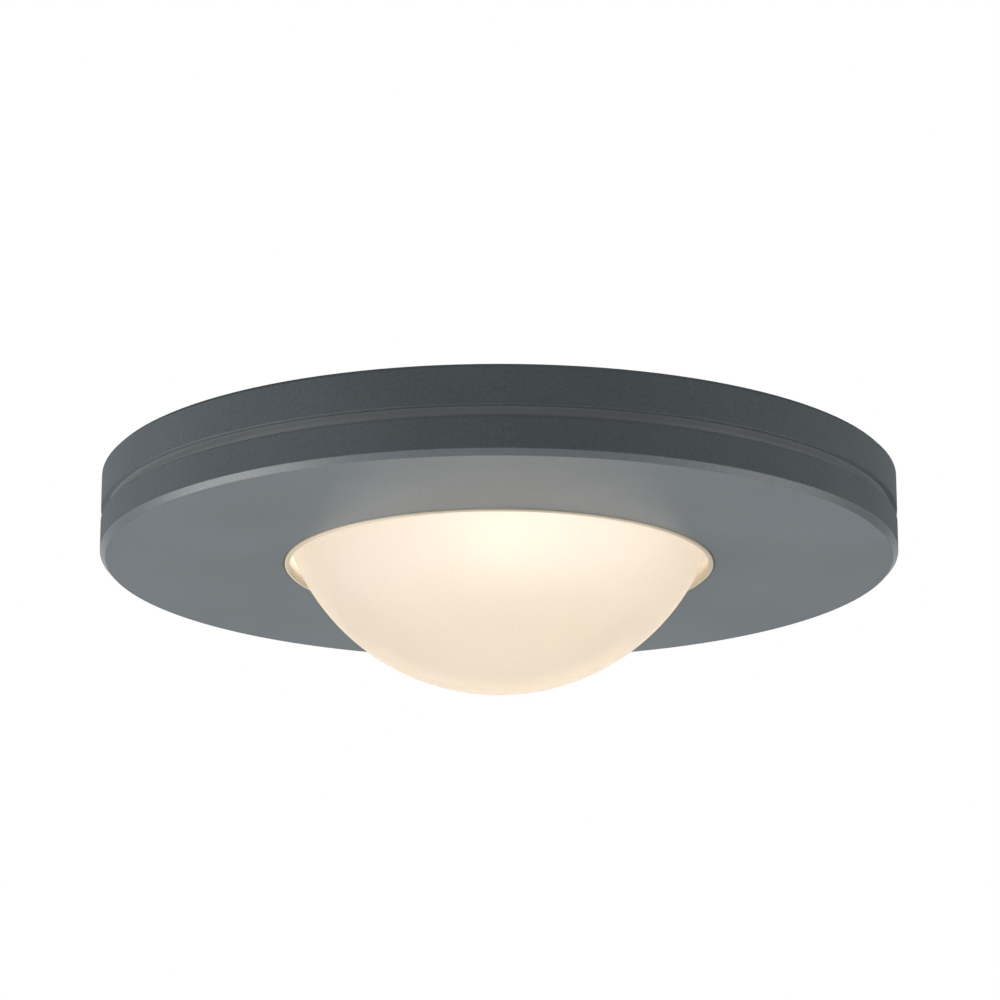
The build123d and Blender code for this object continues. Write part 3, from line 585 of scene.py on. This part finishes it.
bump = add(tree, "Bump", Strength=0.1, Distance=0.00003, Height=surface["Grain"])
feed(
    tree, shader, Base_Color=(0.62, 0.60, 0.56, 1), Roughness=0.68, IOR=1.5, Transmission_Weight=1.0,
    Emission_Color=painted_glow, Emission_Strength=0.159, Normal=bump.outputs[0],
)
dress(glass, "lens")


# Trim ring: the face of the light, turned from aluminium, painted like the housing and screwed into it.
# The thread, the seam face and the inside are bare; the paint wraps round the opening's edge.
# Its outside is turned here in finer steps than the plain model has, with a flat bevel round the face.
rim_steps = 480
edge_steps = 14
rim_radius = 0.035
front_level, plain_round = -0.0076, 0.0007
bevel_in, bevel_up, bevel_soft = 0.00046, 0.0005, 0.00008
shoulder_level, shoulder_soft, groove_depth = -0.0044, 0.00015, 0.0008
land, lap = 0.00004, 0.000003

profile = [((rim_radius - plain_round - land, front_level - lap), (0, -1))]
slant = -math.atan2(bevel_in, bevel_up)
lower = bevel_in + bevel_soft * math.tan(math.pi / 4 + slant / 2)
upper = bevel_up - bevel_soft * math.tan(slant / 2)
for start, end, centre in (
    (-math.pi / 2, slant, (rim_radius - lower, front_level + bevel_soft)),
    (slant, 0.0, (rim_radius - bevel_soft, front_level + upper)),
):
    for step in range(edge_steps + 1):
        angle = start + (end - start) * step / edge_steps
        out, up = math.cos(angle), math.sin(angle)
        profile.append(((centre[0] + bevel_soft * out, centre[1] + bevel_soft * up), (out, up)))
for step in range(edge_steps + 1):
    angle = math.radians(90 * step / edge_steps)
    out, up = math.cos(angle), math.sin(angle)
    centre = (rim_radius - shoulder_soft, shoulder_level - shoulder_soft)
    profile.append(((centre[0] + shoulder_soft * out, centre[1] + shoulder_soft * up), (out, up)))
profile.append(((rim_radius - groove_depth, shoulder_level), (0, 1)))

plain_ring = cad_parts["trim_ring"]
plain_mesh = plain_ring.data
corners, faces, normals = [], [], []
place_of = {}
for face in plain_mesh.polygons:
    spots = [plain_ring.matrix_world @ plain_mesh.vertices[i].co for i in face.vertices]
    outside = min(math.hypot(p.x, p.y) for p in spots) > rim_radius - groove_depth - land
    if outside and max(p.z for p in spots) < shoulder_level + land:
        continue
    for i, spot in zip(face.vertices, spots):
        if i not in place_of:
            place_of[i] = len(corners)
            corners.append(tuple(spot))
    faces.append(tuple(place_of[i] for i in face.vertices))
    if max(abs(p.z - front_level) for p in spots) < land:
        normals += [(0, 0, -1)] * len(spots)
    else:
        normals += [tuple(plain_mesh.corner_normals[i].vector) for i in face.loop_indices]
first = len(corners)
turns = [2 * math.pi * step / rim_steps for step in range(rim_steps)]
for (radius, height), _ in profile:
    corners += [(radius * math.cos(t), radius * math.sin(t), height) for t in turns]
for row in range(len(profile) - 1):
    for step in range(rim_steps):
        following = (step + 1) % rim_steps
        quad = ((row, step), (row, following), (row + 1, following), (row + 1, step))
        faces.append(tuple(first + r * rim_steps + t for r, t in quad))
        for r, t in quad:
            out, up = profile[r][1]
            normals.append((out * math.cos(turns[t]), out * math.sin(turns[t]), up))
ring_mesh = bpy.data.meshes.new("face_ring")
ring_mesh.from_pydata(corners, [], faces)
ring_mesh.normals_split_custom_set(normals)
face_ring = bpy.data.objects.new("face_ring", ring_mesh)
bpy.context.scene.collection.objects.link(face_ring)
inside_level, ring_top = -0.0072, 0.001
ring_paint = painted_turning("grey paint on the face ring", bore_radius, inside_level, ring_top)
ring_mesh.materials.append(ring_paint)
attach(face_ring, "trim")
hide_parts("trim_ring")


# Stage: a pale floor far below the light, two soft lamps at each side, one behind it and one above it,
# a white room and the camera at the photograph's angle.
floor_drop = 0.6
floor_half = 4.0
floor_mesh = bpy.data.meshes.new("floor")
floor_mesh.from_pydata(
    [(x * floor_half, y * floor_half, -floor_drop) for x, y in ((-1, -1), (1, -1), (1, 1), (-1, 1))],
    [],
    [(0, 1, 2, 3)],
)
floor = bpy.data.objects.new("floor", floor_mesh)
bpy.context.scene.collection.objects.link(floor)
floor_paint, tree, shader = new_finish("pale floor")
feed(tree, shader, Base_Color=(0.8, 0.8, 0.8, 1), Roughness=0.8)
floor_mesh.materials.append(floor_paint)


def soft_lamp(name, place, aim, size, power):
    """A square softbox that shines at a point and isn't seen itself."""
    data = bpy.data.lights.new(name, "AREA")
    data.size = size
    data.energy = power
    lamp = bpy.data.objects.new(name, data)
    lamp.location = place
    lamp.rotation_euler = (Vector(aim) - Vector(place)).to_track_quat("-Z", "Y").to_euler()
    lamp.visible_camera = False
    bpy.context.scene.collection.objects.link(lamp)


middle = (0, 0, -0.007)
soft_lamp("steep lamp at the left", (-0.376, 0.066, -0.396), middle, 0.3, 1.74)
soft_lamp("level lamp at the left", (-0.475, -0.253, -0.114), middle, 0.3, 1.3)
soft_lamp("steep lamp at the right", (0.376, 0.066, -0.396), middle, 0.3, 0.72)
soft_lamp("level lamp at the right", (0.475, -0.253, -0.114), middle, 0.3, 0.9)
soft_lamp("lamp behind", (0.0, 0.354, -0.421), middle, 0.3, 0.55)
soft_lamp("lamp above", (0.0, 0.0, 0.7), middle, 0.1, 6.2)

ambient_strength = 0.065
world = bpy.data.worlds.new("studio")
bpy.context.scene.world = world
world.use_nodes = True
tree = world.node_tree
backdrop = tree.nodes["Background"]
path = add(tree, "LightPath").outputs
seen = reckon(tree, "MAXIMUM", path["Is Camera Ray"], path["Is Glossy Ray"])
seen = reckon(tree, "MAXIMUM", seen, path["Is Transmission Ray"])
feed(tree, backdrop, Color=(1, 1, 1, 1), Strength=ramp_value(tree, seen, 0.0, 1.0, ambient_strength, 1.0))

camera_data = bpy.data.cameras.new("camera")
camera_data.lens = 138.86
camera_data.sensor_width = 36.0
camera_data.clip_start = 0.01
camera = bpy.data.objects.new("camera", camera_data)
camera.location = (0, -0.3284, -0.09432)
camera.rotation_euler = (math.radians(90 + 15.781), 0, math.radians(-0.014))
bpy.context.scene.collection.objects.link(camera)
bpy.context.scene.camera = camera
bpy.context.scene.view_settings.view_transform = "Standard"
